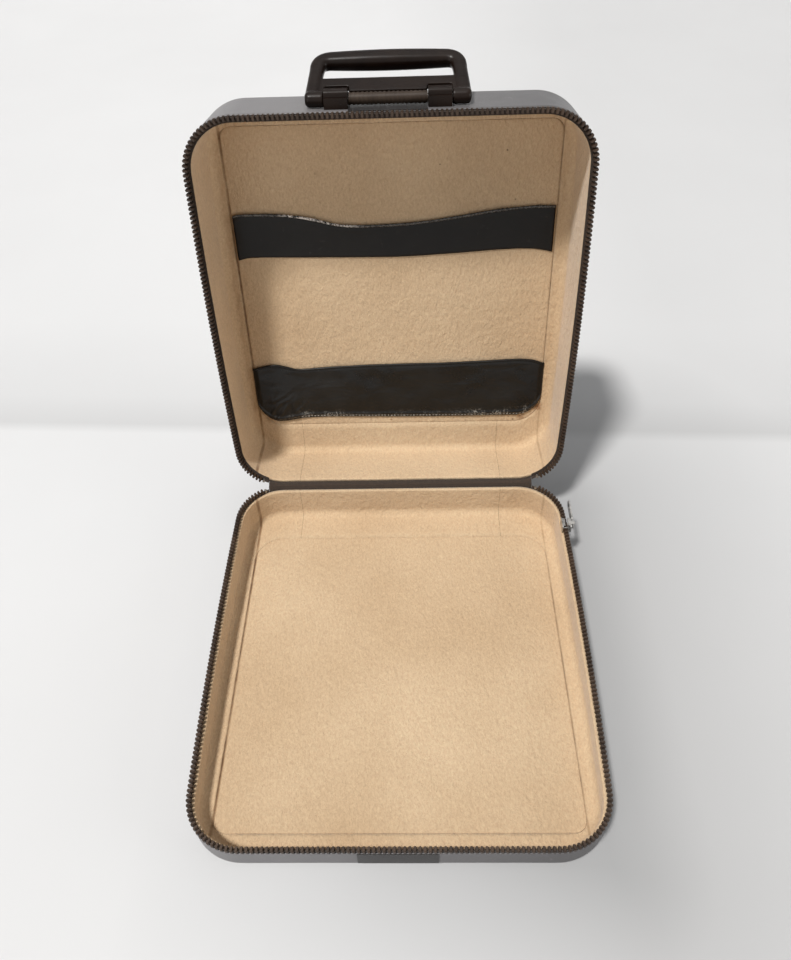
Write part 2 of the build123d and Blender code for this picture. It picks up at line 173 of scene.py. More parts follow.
def add_lights():
    """A key from high on the left, soft lamps overhead and at both sides, and an even surround."""
    key = add_light("key", "SUN", 3.2, (1.0, 0.975, 0.94), Vector((-0.27, -0.30, 0.91)), "Z")
    key.data.angle = math.radians(7.0)
    add_lamp("overhead", (0.2, 0.5, 1.9), (0.0, 0.1, 0.2), 1.0, 2.0, (1.0, 0.99, 0.97))
    add_lamp("right", (2.0, -0.45, 0.5), (0.0, 0.2, 0.25), 1.2, 14.0, (1.0, 0.98, 0.95))
    add_lamp("left", (-1.2, -1.6, 0.9), (0.1, 0.2, 0.25), 1.2, 7.0, (1.0, 0.98, 0.95))
    world = bpy.data.worlds.new("surround")
    world.use_nodes = True
    background = world.node_tree.nodes["Background"]
    background.inputs["Color"].default_value = (1.0, 0.995, 0.985, 1.0)
    strength = world.node_tree.nodes.new("ShaderNodeMapRange")
    strength.inputs["To Min"].default_value = surround_light
    strength.inputs["To Max"].default_value = surround_seen
    links = world.node_tree.links
    links.new(background_rays(world.node_tree), strength.inputs["Value"])
    links.new(strength.outputs["Result"], background.inputs["Strength"])
    bpy.context.scene.world = world


def add_stage():
    """A pale floor that bends up into a backdrop well behind the object."""
    front, turn, back = -3.0, 2.3, 3.6
    half_span = 6.0
    height = 4.0
    bend = back - turn
    profile = [(front, 0.0)]
    profile += [(turn + bend * sin, bend * (1 - cos)) for cos, sin in turning(quarter_turn, 24)]
    profile.append((back, height))
    rows = [[(side * half_span, y, z) for side in (-1, 1)] for y, z in profile]
    stage = grid_object("stage", rows, stage_paper())


def stage_paper():
    """Pale paper that glows faintly where it is seen, with a painted shade line behind the object,
    painted shade towards its right and a painted shadow close to the case.
    """
    shade_line_place = 0.30
    shade_line_slant = 0.045
    shade_reach = 0.30
    glow = 0.12
    paint = Paint("stage_paper")
    across, along, _ = paint.axes()
    behind = paint.sum("SUBTRACT", along, shade_line_place)
    behind = paint.sum("ADD", behind, paint.sum("MULTIPLY", across, shade_line_slant))
    # crease: a painted shade line behind the object, standing in for the shade of a bend in the backdrop
    crease = paint.ramp(paint.sum("ADD", paint.sum("MULTIPLY", behind, 2.5), 0.5), [
        (0.46, 1.0), (0.50, 0.84), (0.62, 0.93), (1.0, 1.0),
    ])
    mottle = paint.ramp(paint.noise(3.0, 3), [(0.3, 0.97), (0.7, 1.0)])
    # right: painted shade, the paper dimmer towards its right as if lit from the left
    right = paint.ramp(paint.sum("ADD", across, 0.5), [(0.45, 1.0), (0.85, 0.86)])
    tone = paint.product(crease, mottle, right, (0.668, 0.676, 0.690))
    # A painted shadow round the case, darkest right beside it and towards its right
    beside = paint.beyond(paint.sum("ABSOLUTE", across), half_width)
    before = paint.beyond(paint.sum("ABSOLUTE", along), half_depth)
    near = paint.ramp(paint.sum("DIVIDE", paint.length(beside, before), shade_reach), [
        (0.0, 0.48), (0.25, 0.27), (0.6, 0.13), (1.0, 0.0),
    ])
    rightwards = paint.ramp(paint.sum("ADD", across, 0.5), [(0.30, 0.15), (0.68, 1.0)])
    tone = paint.mix(paint.product(near, rightwards), tone, (0.0, 0.0, 0.0))
    paint.colour(tone)
    paint.set("Roughness", 0.85)
    paint.set("Specular IOR Level", 0.2)
    seen = background_rays(paint.material.node_tree)
    paint.set("Emission Color", tone)
    paint.set("Emission Strength", paint.sum("MULTIPLY", seen, glow))
    return paint.material


# Meshes and materials

def mesh_object(name, shape, *materials):
    """Turn a bmesh into a smooth-shaded object in the scene, with its materials."""
    bmesh.ops.recalc_face_normals(shape, faces=shape.faces)
    mesh = bpy.data.meshes.new(name)
    shape.to_mesh(mesh)
    shape.free()
    mesh.shade_smooth()
    for material in materials:
        mesh.materials.append(material)
    piece = bpy.data.objects.new(name, mesh)
    bpy.context.collection.objects.link(piece)
    return piece


class Paint:
    """A procedural material: each call adds one node and returns its output."""

    def __init__(self, name, closed_lid=False):
        """A new material; a piece on the lid may be painted as it lies when closed."""
        self.material = bpy.data.materials.new(name)
        self.material.use_nodes = True
        tree = self.material.node_tree
        self.nodes = tree.nodes
        self.links = tree.links
        self.shader = tree.nodes["Principled BSDF"]
        self.place = tree.nodes.new("ShaderNodeTexCoord").outputs["Object"]
        if closed_lid:
            self.place = self.mapped(turn=open_angle, about=hinge)

    def at_place(self, kind, place=None, **values):
        """A node that works on the place, or on another one, with its values set."""
        node = self.nodes.new(kind)
        self.links.new(place or self.place, node.inputs["Vector"])
        for name, value in values.items():
            node.inputs[name].default_value = value
        return node

    def mapped(self, scale=(1, 1, 1), turn=0.0, about=Vector((0, 0, 0))):
        """The place, stretched, or turned round a line along X."""
        shift = about - Matrix.Rotation(turn, 3, "X") @ about
        node = self.at_place("ShaderNodeMapping", Scale=scale, Rotation=(turn, 0, 0), Location=shift)
        return node.outputs["Vector"]

    def noise(self, scale, detail=2, roughness=0.5, place=None, distortion=0.0):
        """Cloudy noise, with so many bumps in a metre."""
        node = self.at_place("ShaderNodeTexNoise", place, Scale=scale, Detail=detail)
        node.inputs["Roughness"].default_value = roughness
        node.inputs["Distortion"].default_value = distortion
        return node.outputs["Fac"]

    def cells(self, scale, feature="F1", randomness=1.0):
        """The distance to the nearest cell's middle."""
        node = self.at_place("ShaderNodeTexVoronoi", Scale=scale, Randomness=randomness)
        node.feature = feature
        return node.outputs["Distance"]

    def axes(self):
        """The place's three numbers."""
        return self.at_place("ShaderNodeSeparateXYZ").outputs[:]

    def ramp(self, value, stops):
        """A value turned into a colour or a grey by stops of (place, colour)."""
        node = self.nodes.new("ShaderNodeValToRGB")
        ramp = node.color_ramp
        while len(ramp.elements) < len(stops):
            ramp.elements.new(0.5)
        for element, (at, colour) in zip(ramp.elements, stops):
            element.position = at
            grey = isinstance(colour, (int, float))
            element.color = (colour, colour, colour, 1) if grey else (*colour, 1)
        self.links.new(value, node.inputs["Fac"])
        return node.outputs["Color"]

    def mix(self, factor, first, second, kind="MIX"):
        """Two colours or greys mixed by a factor, each a number, a colour or an output."""
        node = self.nodes.new("ShaderNodeMix")
        node.data_type = "RGBA"
        node.blend_type = kind
        sockets = (node.inputs[0], node.inputs[6], node.inputs[7])
        for socket, value in zip(sockets, (factor, first, second)):
            self.feed(socket, value)
        return node.outputs[2]

    def sum(self, kind, first, second=0.0):
        """One step of arithmetic."""
        node = self.nodes.new("ShaderNodeMath")
        node.operation = kind
        self.feed(node.inputs[0], first)
        self.feed(node.inputs[1], second)
        return node.outputs["Value"]

    def product(self, first, *others):
        """Colours or greys multiplied by each other."""
        for other in others:
            first = self.mix(1.0, first, other, "MULTIPLY")
        return first

    def length(self, first, second):
        """The length of a step that goes so far one way and so far across it."""
        squares = [self.sum("MULTIPLY", part, part) for part in (first, second)]
        return self.sum("SQRT", self.sum("ADD", *squares))

    def beyond(self, value, limit):
        """How far a value lies past a limit, or nothing."""
        return self.sum("MAXIMUM", self.sum("SUBTRACT", value, limit), 0.0)

    def feed(self, socket, value):
        """Give a socket an output, a number or a colour."""
        if isinstance(value, bpy.types.NodeSocket):
            self.links.new(value, socket)
        elif isinstance(value, (int, float)):
            plain = isinstance(socket.default_value, (int, float))
            socket.default_value = value if plain else (value, value, value, 1)
        else:
            socket.default_value = (*value, 1)

    def bump(self, height, depth, below=None):
        """A bump of so many metres, on top of another one."""
        node = self.nodes.new("ShaderNodeBump")
        node.inputs["Distance"].default_value = depth
        self.links.new(height, node.inputs["Height"])
        if below:
            self.links.new(below, node.inputs["Normal"])
        return node.outputs["Normal"]

    def set(self, socket, value):
        """Set one of the shader's own sockets."""
        self.feed(self.shader.inputs[socket], value)

    def colour(self, value):
        """Colour the surface."""
        self.set("Base Color", value)

    def normal(self, value):
        """Shape the surface's shading with a bump."""
        self.links.new(value, self.shader.inputs["Normal"])


def felt(name, on_lid):
    """Cream wool felt: matted pile, faint blotches and a few dark specks."""
    paint = Paint(name, closed_lid=on_lid)
    cream = paint.ramp(paint.noise(7.0, 3, 0.5), [
        (0.30, (0.505, 0.362, 0.226)),
        (0.70, (0.620, 0.460, 0.304)),
    ])
    slanting = paint.mapped(scale=(1.0, 0.6, 0.8), turn=0.5)
    lumps = paint.noise(230.0, 3, 0.6, slanting, 0.2)
    pile = paint.noise(620.0, 3, 0.6, slanting, 0.5)
    fibres = paint.noise(1900.0, 2, 0.6)
    cream = paint.mix(0.16, cream, paint.ramp(pile, [(0.3, 0.2), (0.7, 1.0)]), "OVERLAY")
    cream = paint.mix(0.10, cream, paint.ramp(fibres, [(0.3, 0.2), (0.7, 1.0)]), "OVERLAY")
    specks = paint.ramp(paint.cells(17.0), [(0.016, 1.0), (0.030, 0.0)])
    rarely = paint.ramp(paint.noise(11.0, 0), [(0.50, 0.0), (0.56, 1.0)])
    cream = paint.mix(paint.product(specks, rarely), cream, (0.12, 0.075, 0.04))
    if on_lid:
        for x, height, size, strength, colour in panel_marks:
            mark = round_mark(paint, x * mm, height * mm, size * mm, strength)
            cream = paint.mix(mark, cream, colour)
    paint.colour(paint.mix(seam_stain(paint), cream, (0.20, 0.105, 0.045)))
    paint.set("Roughness", 0.95)
    paint.set("Specular IOR Level", 0.15)
    paint.set("Sheen Weight", 0.25)
    paint.set("Sheen Roughness", 0.5)
    surface = paint.bump(lumps, 0.0014)
    surface = paint.bump(pile, 0.0004, surface)
    paint.normal(paint.bump(fibres, 0.00015, surface))
    return paint.material


rust = (0.24, 0.11, 0.04)
dirt = (0.10, 0.06, 0.035)

# Marks on the lid's panel: X, distance from the hinge end, size (all mm), strength and colour
panel_marks = [
    (95, 298, 2.0, 0.9, dirt),
    (40, 288, 1.6, 0.8, dirt),
    (104, 258, 1.8, 0.8, dirt),
    (-8, 41, 3.0, 0.8, rust),
    (114, 39.5, 2.2, 1.0, dirt),
    (137, 54, 13.0, 0.90, rust),
    (122, 42, 11.0, 0.60, rust),
    (-130, 44, 12.0, 0.45, rust),
]


def round_mark(paint, x, height, size, strength):
    """A soft-edged mark with an uneven outline round a place on the lid's panel."""
    across, along, _ = paint.axes()
    sideways = paint.sum("SUBTRACT", across, x)
    upwards = paint.sum("SUBTRACT", along, half_depth - height)
    uneven = paint.sum("MULTIPLY", paint.noise(320.0, 3, 0.6), 0.9)
    away = paint.sum("ADD", paint.sum("DIVIDE", paint.length(sideways, upwards), size), uneven)
    return paint.ramp(away, [(0.55, strength), (0.95, 0.0)])


def seam_stain(paint):
    """A brown line of old glue along the side seams, stronger on the left."""
    across = paint.axes()[0]
    seam = half_width - seam_side
    reach = 1.6 * mm
    lines = []
    for kind, stops in (("ADD", [(0.35, 0.85), (1.0, 0.0)]), ("SUBTRACT", [(0.2, 0.45), (0.8, 0.0)])):
        away = paint.sum("ABSOLUTE", paint.sum(kind, across, seam))
        lines.append(paint.ramp(paint.sum("DIVIDE", away, reach), stops))
    patchy = paint.ramp(paint.noise(60.0, 3), [(0.30, 0.35), (0.65, 1.0)])
    return paint.product(paint.mix(1.0, *lines, "ADD"), patchy)


def vinyl(name, dark, light, roughness, grain=0.00012, gloss=0.5, right_shade=0.0, creased=0.0):
    """Vinyl cloth with pebbled grain, scuffs, uneven gloss and creases, and painted shade darkening it
    towards its right.
    """
    paint = Paint(name)
    paint.set("Specular IOR Level", gloss)
    clouds = paint.noise(14.0, 4, 0.6)
    body = paint.ramp(clouds, [(0.30, dark), (0.70, light)])
    if right_shade:
        # Painted shade: the body darkens towards the right, as if lit from the left
        across = paint.axes()[0]
        amount = paint.ramp(paint.sum("ADD", across, 0.5), [(0.42, 0.0), (0.62, right_shade)])
        body = paint.mix(amount, body, tuple(part * 0.3 for part in dark))
    scuffs = paint.noise(90.0, 5, 0.7, paint.mapped(scale=(1.0, 0.25, 1.0)), 1.0)
    worn = tuple(min(1.0, part * 1.5 + 0.03) for part in light)
    paint.colour(paint.mix(paint.ramp(scuffs, [(0.62, 0.0), (0.78, 0.5)]), body, worn))
    paint.set("Roughness", paint.ramp(clouds, [(0.3, roughness - 0.06), (0.7, roughness + 0.08)]))
    pebbles = paint.cells(1300.0, "SMOOTH_F1")
    folds = paint.noise(32.0, 2, 0.5, paint.mapped(scale=(1.0, 0.6, 0.5)), 0.3)
    paint.normal(paint.bump(pebbles, grain, paint.bump(folds, creased)))
    return paint.material


def pocket_vinyl(name, dark, light, roughness):
    """The pocket's black vinyl, flaked white near its bottom edge, most at its lower right corner."""
    paint = Paint(name, closed_lid=True)
    paint.set("Specular IOR Level", 0.3)
    across, along, _ = paint.axes()
    clouds = paint.noise(22.0, 4, 0.6)
    body = paint.ramp(clouds, [(0.30, dark), (0.70, light)])
    height = paint.sum("SUBTRACT", half_depth, along)
    foot = 45.0 * mm
    past_side = paint.beyond(paint.sum("ABSOLUTE", across), pocket_half - pocket_corner)
    past_foot = paint.beyond(foot + pocket_corner, height)
    inside = paint.sum("SUBTRACT", pocket_corner, paint.length(past_side, past_foot))
    edge = paint.ramp(paint.sum("DIVIDE", inside, 12.0 * mm), [(0.0, 1.0), (0.45, 0.75), (1.0, 0.0)])
    place = paint.ramp(paint.sum("ADD", paint.sum("MULTIPLY", across, 3.0), 0.5), [
        (0.19, 0.12), (0.23, 0.8), (0.31, 0.8), (0.36, 0.15), (0.68, 0.15), (0.75, 0.9), (0.90, 0.9),
    ])
    low = paint.ramp(paint.sum("DIVIDE", height, 100.0 * mm), [(0.52, 1.0), (0.64, 0.0)])
    patches = paint.ramp(paint.noise(520.0, 4, 0.7), [(0.50, 0.0), (0.60, 1.0)])
    groups = paint.ramp(paint.noise(90.0, 2, 0.6), [(0.42, 0.0), (0.60, 1.0)])
    flaked = paint.product(place, low, edge, patches, groups)
    body = paint.mix(flaked, body, (0.50, 0.47, 0.42))
    chip = round_mark(paint, 83.0 * mm, 46.5 * mm, 2.6 * mm, 0.9)
    paint.colour(paint.mix(chip, body, (0.50, 0.55, 0.46)))
    paint.set("Roughness", paint.ramp(clouds, [(0.3, roughness - 0.10), (0.7, roughness + 0.10)]))
    folds = paint.noise(42.0, 2, 0.5, paint.mapped(scale=(0.6, 1.4, 1.0)), 0.4)
    paint.normal(paint.bump(paint.noise(1100.0, 3), 0.00006, paint.bump(folds, 0.0012)))
    return paint.material


def painted_highlight_edge(name, start, end):
    """The rolled edge of the black vinyl, with a painted highlight of shiny light grey patches between
    two places across the lid.
    """
    paint = Paint(name)
    across = paint.axes()[0]
    share = paint.sum("DIVIDE", paint.sum("SUBTRACT", across, start), end - start)
    reach = paint.ramp(share, [(0.0, 0.10), (0.12, 0.85), (0.75, 0.85), (1.0, 0.10)])
    patches = paint.ramp(paint.noise(420.0, 4, 0.7), [(0.44, 0.0), (0.54, 1.0)])
    # Painted highlight: light grey patches along the rolled edge between the two places
    paint.colour(paint.mix(paint.product(reach, patches), (0.008, 0.007, 0.006), (0.80, 0.77, 0.74)))
    paint.set("Roughness", paint.ramp(paint.noise(300.0, 2), [(0.3, 0.18), (0.7, 0.34)]))
    paint.normal(paint.bump(paint.noise(900.0, 3), 0.0001))
    return paint.material


def moulded(name, dark, light, roughness, gloss=0.5):
    """Old moulded plastic: a faint flow pattern, fine scratches and dull, handled patches."""
    paint = Paint(name)
    paint.set("Specular IOR Level", gloss)
    clouds = paint.noise(45.0, 4, 0.6)
    paint.colour(paint.ramp(clouds, [(0.35, dark), (0.7, light)]))
    scratches = paint.noise(240.0, 6, 0.75, paint.mapped(scale=(0.08, 1.0, 1.0)), 0.4)
    paint.set("Roughness", paint.ramp(scratches, [(0.35, roughness), (0.7, roughness + 0.18)]))
    skin = paint.bump(paint.noise(900.0, 2), 0.00004)
    paint.normal(paint.bump(scratches, 0.00005, skin))
    return paint.material


def woven(name, dark, light, threads=1500.0):
    """Tightly woven tape."""
    paint = Paint(name)
    wobble = paint.noise(300.0, 3)
    weave = paint.cells(threads, "F1", 0.25)
    paint.colour(paint.ramp(paint.mix(0.5, weave, wobble), [(0.25, dark), (0.65, light)]))
    paint.set("Roughness", 0.9)
    paint.set("Sheen Weight", 0.15)
    paint.normal(paint.bump(weave, 0.00012))
    return paint.material


def metal(name, colour, roughness):
    """Worn plated metal with brushed scratches and darker tarnish."""
    paint = Paint(name)
    tarnish = paint.noise(160.0, 5, 0.65)
    dull = tuple(part * 0.45 for part in colour)
    paint.colour(paint.ramp(tarnish, [(0.35, dull), (0.6, colour)]))
    paint.set("Metallic", 1.0)
    scratches = paint.noise(500.0, 4, 0.7, paint.mapped(scale=(0.1, 1.0, 1.0)))
    paint.set("Roughness", paint.ramp(scratches, [(0.3, roughness), (0.7, roughness + 0.25)]))
    paint.normal(paint.bump(scratches, 0.00003))
    return paint.material


def board(name, colour):
    """Pressed fibre board with short fibres."""
    paint = Paint(name)
    fibres = paint.noise(600.0, 4, 0.7, paint.mapped(scale=(1.0, 0.35, 1.0)))
    dark = tuple(part * 0.6 for part in colour)
    paint.colour(paint.ramp(fibres, [(0.3, dark), (0.7, colour)]))
    paint.set("Roughness", 0.9)
    paint.normal(paint.bump(fibres, 0.0002))
    return paint.material


# The case's outline, as points round its rim with the direction into the case

def plan_corner():
    """The bowed side's radius and centre, and the centre of the rounded corner beside it."""
    bow_radius = (half_depth ** 2 + side_bow ** 2) / (2 * side_bow)
    bow_centre = half_width + side_bow - bow_radius
    corner_y = half_depth - corner_radius
    reach = bow_radius - corner_radius
    corner_x = bow_centre + math.sqrt(reach ** 2 - corner_y ** 2)
    return bow_radius, bow_centre, corner_x, corner_y


def back_line(x, inset):
    """Where the back wall stands at one X, drawn in by the inset, round its corners too."""
    corner_x, corner_y = plan_corner()[2:]
    past = max(0.0, abs(x) - corner_x)
    return corner_y + math.sqrt((corner_radius - inset) ** 2 - past ** 2)


def rim_points(spacing):
    """Points round the plan outline from the back's middle, each with its inward direction."""
    bow_radius, bow_centre, corner_x, corner_y = plan_corner()
    tilt = math.atan2(corner_y, corner_x - bow_centre)
    quarter = []
    run = max(2, round(corner_x / spacing))
    for step in range(run):
        quarter.append((corner_x * step / run, half_depth, 0.0, -1.0))
    turn = max(4, round((quarter_turn - tilt) * corner_radius / spacing))
    for step in range(turn):
        angle = quarter_turn + (tilt - quarter_turn) * step / turn
        cos, sin = math.cos(angle), math.sin(angle)
        quarter.append((corner_x + corner_radius * cos, corner_y + corner_radius * sin, -cos, -sin))
    run = max(2, round(tilt * bow_radius / spacing))
    for step in range(run):
        angle = tilt * (1 - step / run)
        cos, sin = math.cos(angle), math.sin(angle)
        quarter.append((bow_centre + bow_radius * cos, bow_radius * sin, -cos, -sin))
    quarter.append((half_width + side_bow, 0.0, -1.0, 0.0))
    front = [(x, -y, nx, -ny) for x, y, nx, ny in reversed(quarter[:-1])]
    right = quarter + front
    left = [(-x, y, -nx, ny) for x, y, nx, ny in reversed(right[1:-1])]
    return right + left


def seam_box(inset):
    """The seam's half width, its front and its back, drawn in by the inset."""
    side = half_width - seam_side - inset
    return side, seam_front - half_depth + inset, half_depth - seam_back - inset


def seam_distance(x, y):
    """How far a point lies outside the seam round the lining's flat piece."""
    side, low, high = seam_box(0.0)
    middle = (low + high) / 2
    radius = seam_back_radius if y > middle else seam_front_radius
    across = abs(x) - (side - radius)
    along = abs(y - middle) - ((high - low) / 2 - radius)
    outside = math.hypot(max(across, 0), max(along, 0))
    return outside + min(max(across, along), 0) - radius


def seam_inset(x, y, nx, ny):
    """How far inwards from a rim point the seam lies."""
    near, distant = 0.0, 90.0 * mm
    for _ in range(24):
        middle = (near + distant) / 2
        if seam_distance(x + nx * middle, y + ny * middle) > 0:
            near = middle
        else:
            distant = middle
    return near


def waviness(point, size, height):
    """A smooth unevenness of so many metres in height and size."""
    return noise.noise(point / size) * height


def turning(angle, count):
    """The cosine and sine at each step of a turn through an angle, with both its ends."""
    angles = [angle * step / count for step in range(count + 1)]
    return [(math.cos(part), math.sin(part)) for part in angles]


def clamped(value):
    """A number held between 0 and 1."""
    return max(0.0, min(1.0, value))


def placed(points, on_lid):
    """Points drawn on the closed case, moved to where they are on the open one."""
    return [opening @ point for point in points] if on_lid else points


def join_rows(shape, rows, ring=False, tube=False):
    """Faces between rows of points; a ring closes from last row to first, a tube within its rows."""
    verts = [[shape.verts.new(point) for point in row] for row in rows]
    pairs = list(zip(verts, verts[1:]))
    if ring:
        pairs.append((verts[-1], verts[0]))
    for first, second in pairs:
        count = len(first)
        for index in range(count if tube else count - 1):
            after = (index + 1) % count
            shape.faces.new((first[index], first[after], second[after], second[index]))
    return verts


def grid_object(name, rows, *materials, ring=False):
    """A surface through rows of points, as an object."""
    shape = bmesh.new()
    join_rows(shape, rows, ring)
    return mesh_object(name, shape, *materials)


def half_height(depth, on_lid):
    """A distance from a half's outer face, as a height on the closed case."""
    return case_height - depth if on_lid else depth


def rim_depth(y, on_lid):
    """How far a half's rim is from its outer face, at Y."""
    if on_lid:
        return case_height - (parting(y) + rim_distance)
    return parting(y) - rim_distance


def wall_profile(x, y, nx, ny, on_lid):
    """The lining's section at a rim point, from its seam up the wall and over the rim."""
    rim = rim_depth(y, on_lid)
    turn = 1.2 * mm
    hem = 3.0 * mm
    centre = lining_face + lining_radius
    start = seam_inset(x, y, nx, ny) - seam_gap / 2
    roll = 0.4 * mm
    path = [(start + 0.1 * mm, board_face)]
    if start > centre + roll:
        path += [(start - roll * sin, lining_face - roll * cos) for cos, sin in turning(quarter_turn, 3)]
        flat = start - roll - centre
        for step in range(1, 5):
            path.append((start - roll - flat * step / 4, lining_face))
        first = 0.0
    else:
        first = math.asin(max(0.0, (centre - start) / lining_radius))
        path += [path[0]] * 8
    for step in range(1, 13):
        angle = first + (quarter_turn - first) * step / 12
        inset = centre - lining_radius * math.sin(angle)
        path.append((inset, centre - lining_radius * math.cos(angle)))
    wall = rim - turn - centre
    for step in range(1, 13):
        path.append((lining_face, centre + wall * step / 12))
    for cos, sin in turning(quarter_turn, 4)[1:]:
        path.append((lining_face - turn * (1 - cos), rim - turn * (1 - sin)))
    return path + [(fold_reach, rim), (fold_reach, rim - hem)]


def wall_row(rim_point, on_lid):
    """One section of the lining's wall, slightly uneven, as points."""
    x, y, nx, ny = rim_point
    row = []
    for inset, depth in wall_profile(x, y, nx, ny, on_lid):
        point = Vector((x + nx * inset, y + ny * inset, half_height(depth, on_lid)))
        swell = waviness(point, 30 * mm, 0.35 * mm) + waviness(point, 7 * mm, 0.12 * mm)
        lean = clamped((inset - fold_reach) / (lining_face - fold_reach))
        row.append(point + Vector((nx, ny, 0)) * swell * lean)
    return placed(row, on_lid)


def lining_walls(name, on_lid, material):
    """The lining's walls: all round the rim but the middle of the back."""
    edge = back_piece_half + seam_gap / 2
    around = [(edge, half_depth, 0.0, -1.0)]
    for point in rim_points(rim_spacing):
        if point[1] <= half_depth - seam_gap or abs(point[0]) >= edge:
            around.append(point)
    around.append((-edge, half_depth, 0.0, -1.0))
    return grid_object(name, [wall_row(point, on_lid) for point in around], material)


def lining_back(name, on_lid, material):
    """The lining's back piece, between its two short seams."""
    edge = back_piece_half - seam_gap / 2
    steps = 66
    around = [(edge - 2 * edge * step / steps, half_depth, 0.0, -1.0) for step in range(steps + 1)]
    return grid_object(name, [wall_row(point, on_lid) for point in around], material)


def panel_outline(side, low, high):
    """Points round the lining's large flat piece, all about as far apart."""
    spacing = 4.0 * mm
    outline = []
    for cx, cy, radius, start in (
        (side, high, seam_back_radius, 0.0),
        (-side, high, seam_back_radius, 90.0),
        (-side, low, seam_front_radius, 180.0),
        (side, low, seam_front_radius, 270.0),
    ):
        inner_x = cx - math.copysign(radius, cx)
        inner_y = cy - math.copysign(radius, cy - (low + high) / 2)
        for step in range(13):
            angle = math.radians(start + 90.0 * step / 12)
            outline.append((inner_x + radius * math.cos(angle), inner_y + radius * math.sin(angle)))
    dense = []
    for (x1, y1), (x2, y2) in zip(outline, outline[1:] + outline[:1]):
        count = max(1, round(math.hypot(x2 - x1, y2 - y1) / spacing))
        dense += [(x1 + (x2 - x1) * k / count, y1 + (y2 - y1) * k / count) for k in range(count)]
    return dense


def lining_panel(name, on_lid, material):
    """The lining's large flat piece: slightly uneven, and rolled down into its seam."""
    side, low, high = seam_box(seam_gap / 2)
    middle = (low + high) / 2
    rings = [(1.0, board_face), (1.0, lining_face - 0.4 * mm), (0.999, lining_face - 0.1 * mm)]
    rings += [(0.997, lining_face)] + [(0.985 * (1 - step / 44), lining_face) for step in range(45)]
    rows = []
    for x, y in panel_outline(side, low, high):
        row = []
        for share, depth in rings:
            point = Vector((x * share, middle + (y - middle) * share, 0))
            swell = waviness(point, 45 * mm, 0.45 * mm) + waviness(point, 9 * mm, 0.15 * mm)
            settled = min(1.0, (1 - share) * 25)
            point.z = half_height(depth + swell * settled, on_lid)
            row.append(point)
        rows.append(placed(row, on_lid))
    return grid_object(name, rows, material, ring=True)


def add_linings():
    """Both halves' linings, in place of their plain solids."""
    for half, on_lid, flat in (("base", False, "floor"), ("lid", True, "panel")):
        wool = felt(f"{half}_felt", on_lid)
        for part, shape, cut in (
            ("walls", lining_walls, wall_cut),
            ("back", lining_back, back_cut),
            (flat, lining_panel, panel_cut),
        ):
            node = f"{half}_lining_{part}"
            piece = shape(f"{half}_felt_{part}", on_lid, wool)
            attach(piece, half)
            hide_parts(node)


# The outer covers

cover_margin = 36.0 * mm


def cover_profile(y, on_lid):
    """The cover's section at a rim point, from inside its rim over the edge to its flat face."""
    rim = rim_depth(y, on_lid)
    lip = 0.3 * mm
    hem = 5.0 * mm
    path = [
        (cover_thickness, rim - hem),
        (cover_thickness, rim - lip),
        (cover_thickness - lip, rim),
        (lip, rim),
        (0.0, rim - lip),
    ]
    wall = rim - lip - edge_radius
    for step in range(1, 13):
        path.append((0.0, rim - lip - wall * step / 12))
    for cos, sin in turning(quarter_turn, 12)[1:]:
        path.append((edge_radius * (1 - cos), edge_radius * (1 - sin)))
    flat = cover_margin - edge_radius
    for step in range(1, 9):
        path.append((edge_radius + flat * step / 8, 0.0))
    return path


def cover_shell(name, on_lid, material):
    """One half's vinyl cover, slightly uneven where it is stretched over the board."""
    dented_wall = 60.0 * mm
    dented_face = 30.0 * mm
    ease = 20.0 * mm
    inwards = -1 if on_lid else 1
    rows = []
    for x, y, nx, ny in rim_points(rim_spacing):
        row = []
        for inset, depth in cover_profile(y, on_lid):
            place = Vector((x + nx * inset, y + ny * inset, half_height(depth, on_lid)))
            settled = clamped((dented_face - inset) / ease) if depth < dented_wall else 0.0
            dent = max(0.0, 0.1 * mm - waviness(place, 45 * mm, 0.14 * mm)) * settled
            on_wall = min(1.0, depth / edge_radius)
            place += Vector((nx, ny, 0)) * dent * on_wall
            place.z += inwards * dent * (1 - on_wall)
            row.append(place)
        rows.append(placed(row, on_lid))
    shape = bmesh.new()
    verts = join_rows(shape, rows, ring=True)
    shape.faces.new([row[-1] for row in verts])
    return mesh_object(name, shape, material)


def add_covers():
    """Both halves' vinyl covers, in place of their plain solids."""
    cover = vinyl(
        "grey_blue_vinyl", (0.165, 0.160, 0.168), (0.215, 0.208, 0.215), 0.42,
        gloss=0.4, right_shade=0.6, creased=0.0012,
    )
    for half, cut in (("base", base_cover_cut), ("lid", lid_cover_cut)):
        piece = cover_shell(f"{half}_vinyl_cover", half == "lid", cover)
        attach(piece, half)
        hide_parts(f"{half}_cover")


# The band and the pocket on the lid's panel. Each is a sheet between two wavy edges.

sheet_face = lining_face + 0.5 * mm
sheet_thickness = 0.5 * mm
edge_roll = 0.9 * mm
roll_start = math.radians(200.0)
roll_turn = math.radians(260.0)

# Edges as (X, distance from the hinge end), in millimetres
band_top = [
    (-138.5, 249.5), (-134, 251), (-113, 251), (-90, 249.8), (-70, 246.5), (-52, 241.8), (-38, 240),
    (-15, 239.6), (20, 241.2), (55, 245.5), (90, 250.5), (120, 252.8), (138.5, 252.6),
]
band_bottom = [
    (-138.5, 210.2), (-128, 212.3), (-84, 211.8), (-40, 211), (5, 210.6), (50, 212.5), (95, 215.2),
    (120, 215.3), (132, 213.5), (138.5, 212),
]
pocket_top = [
    (-140.5, 102), (-131, 104), (-118, 106), (-106, 103.4), (-97, 101.2), (-82, 101.8), (-56, 103.6),
    (0, 105), (50, 105.6), (90, 107), (115, 108), (130, 106.5), (140.5, 102.8),
]
pocket_bottom = [
    (-140.5, 41.5), (-124, 41.2), (-111, 42.8), (-95, 45.4), (-70, 46.4), (0, 45.2), (60, 44.8),
    (140.5, 45.2),
]
pocket_corner = 25.0 * mm
band_half = 138.5 * mm
pocket_half = 140.5 * mm


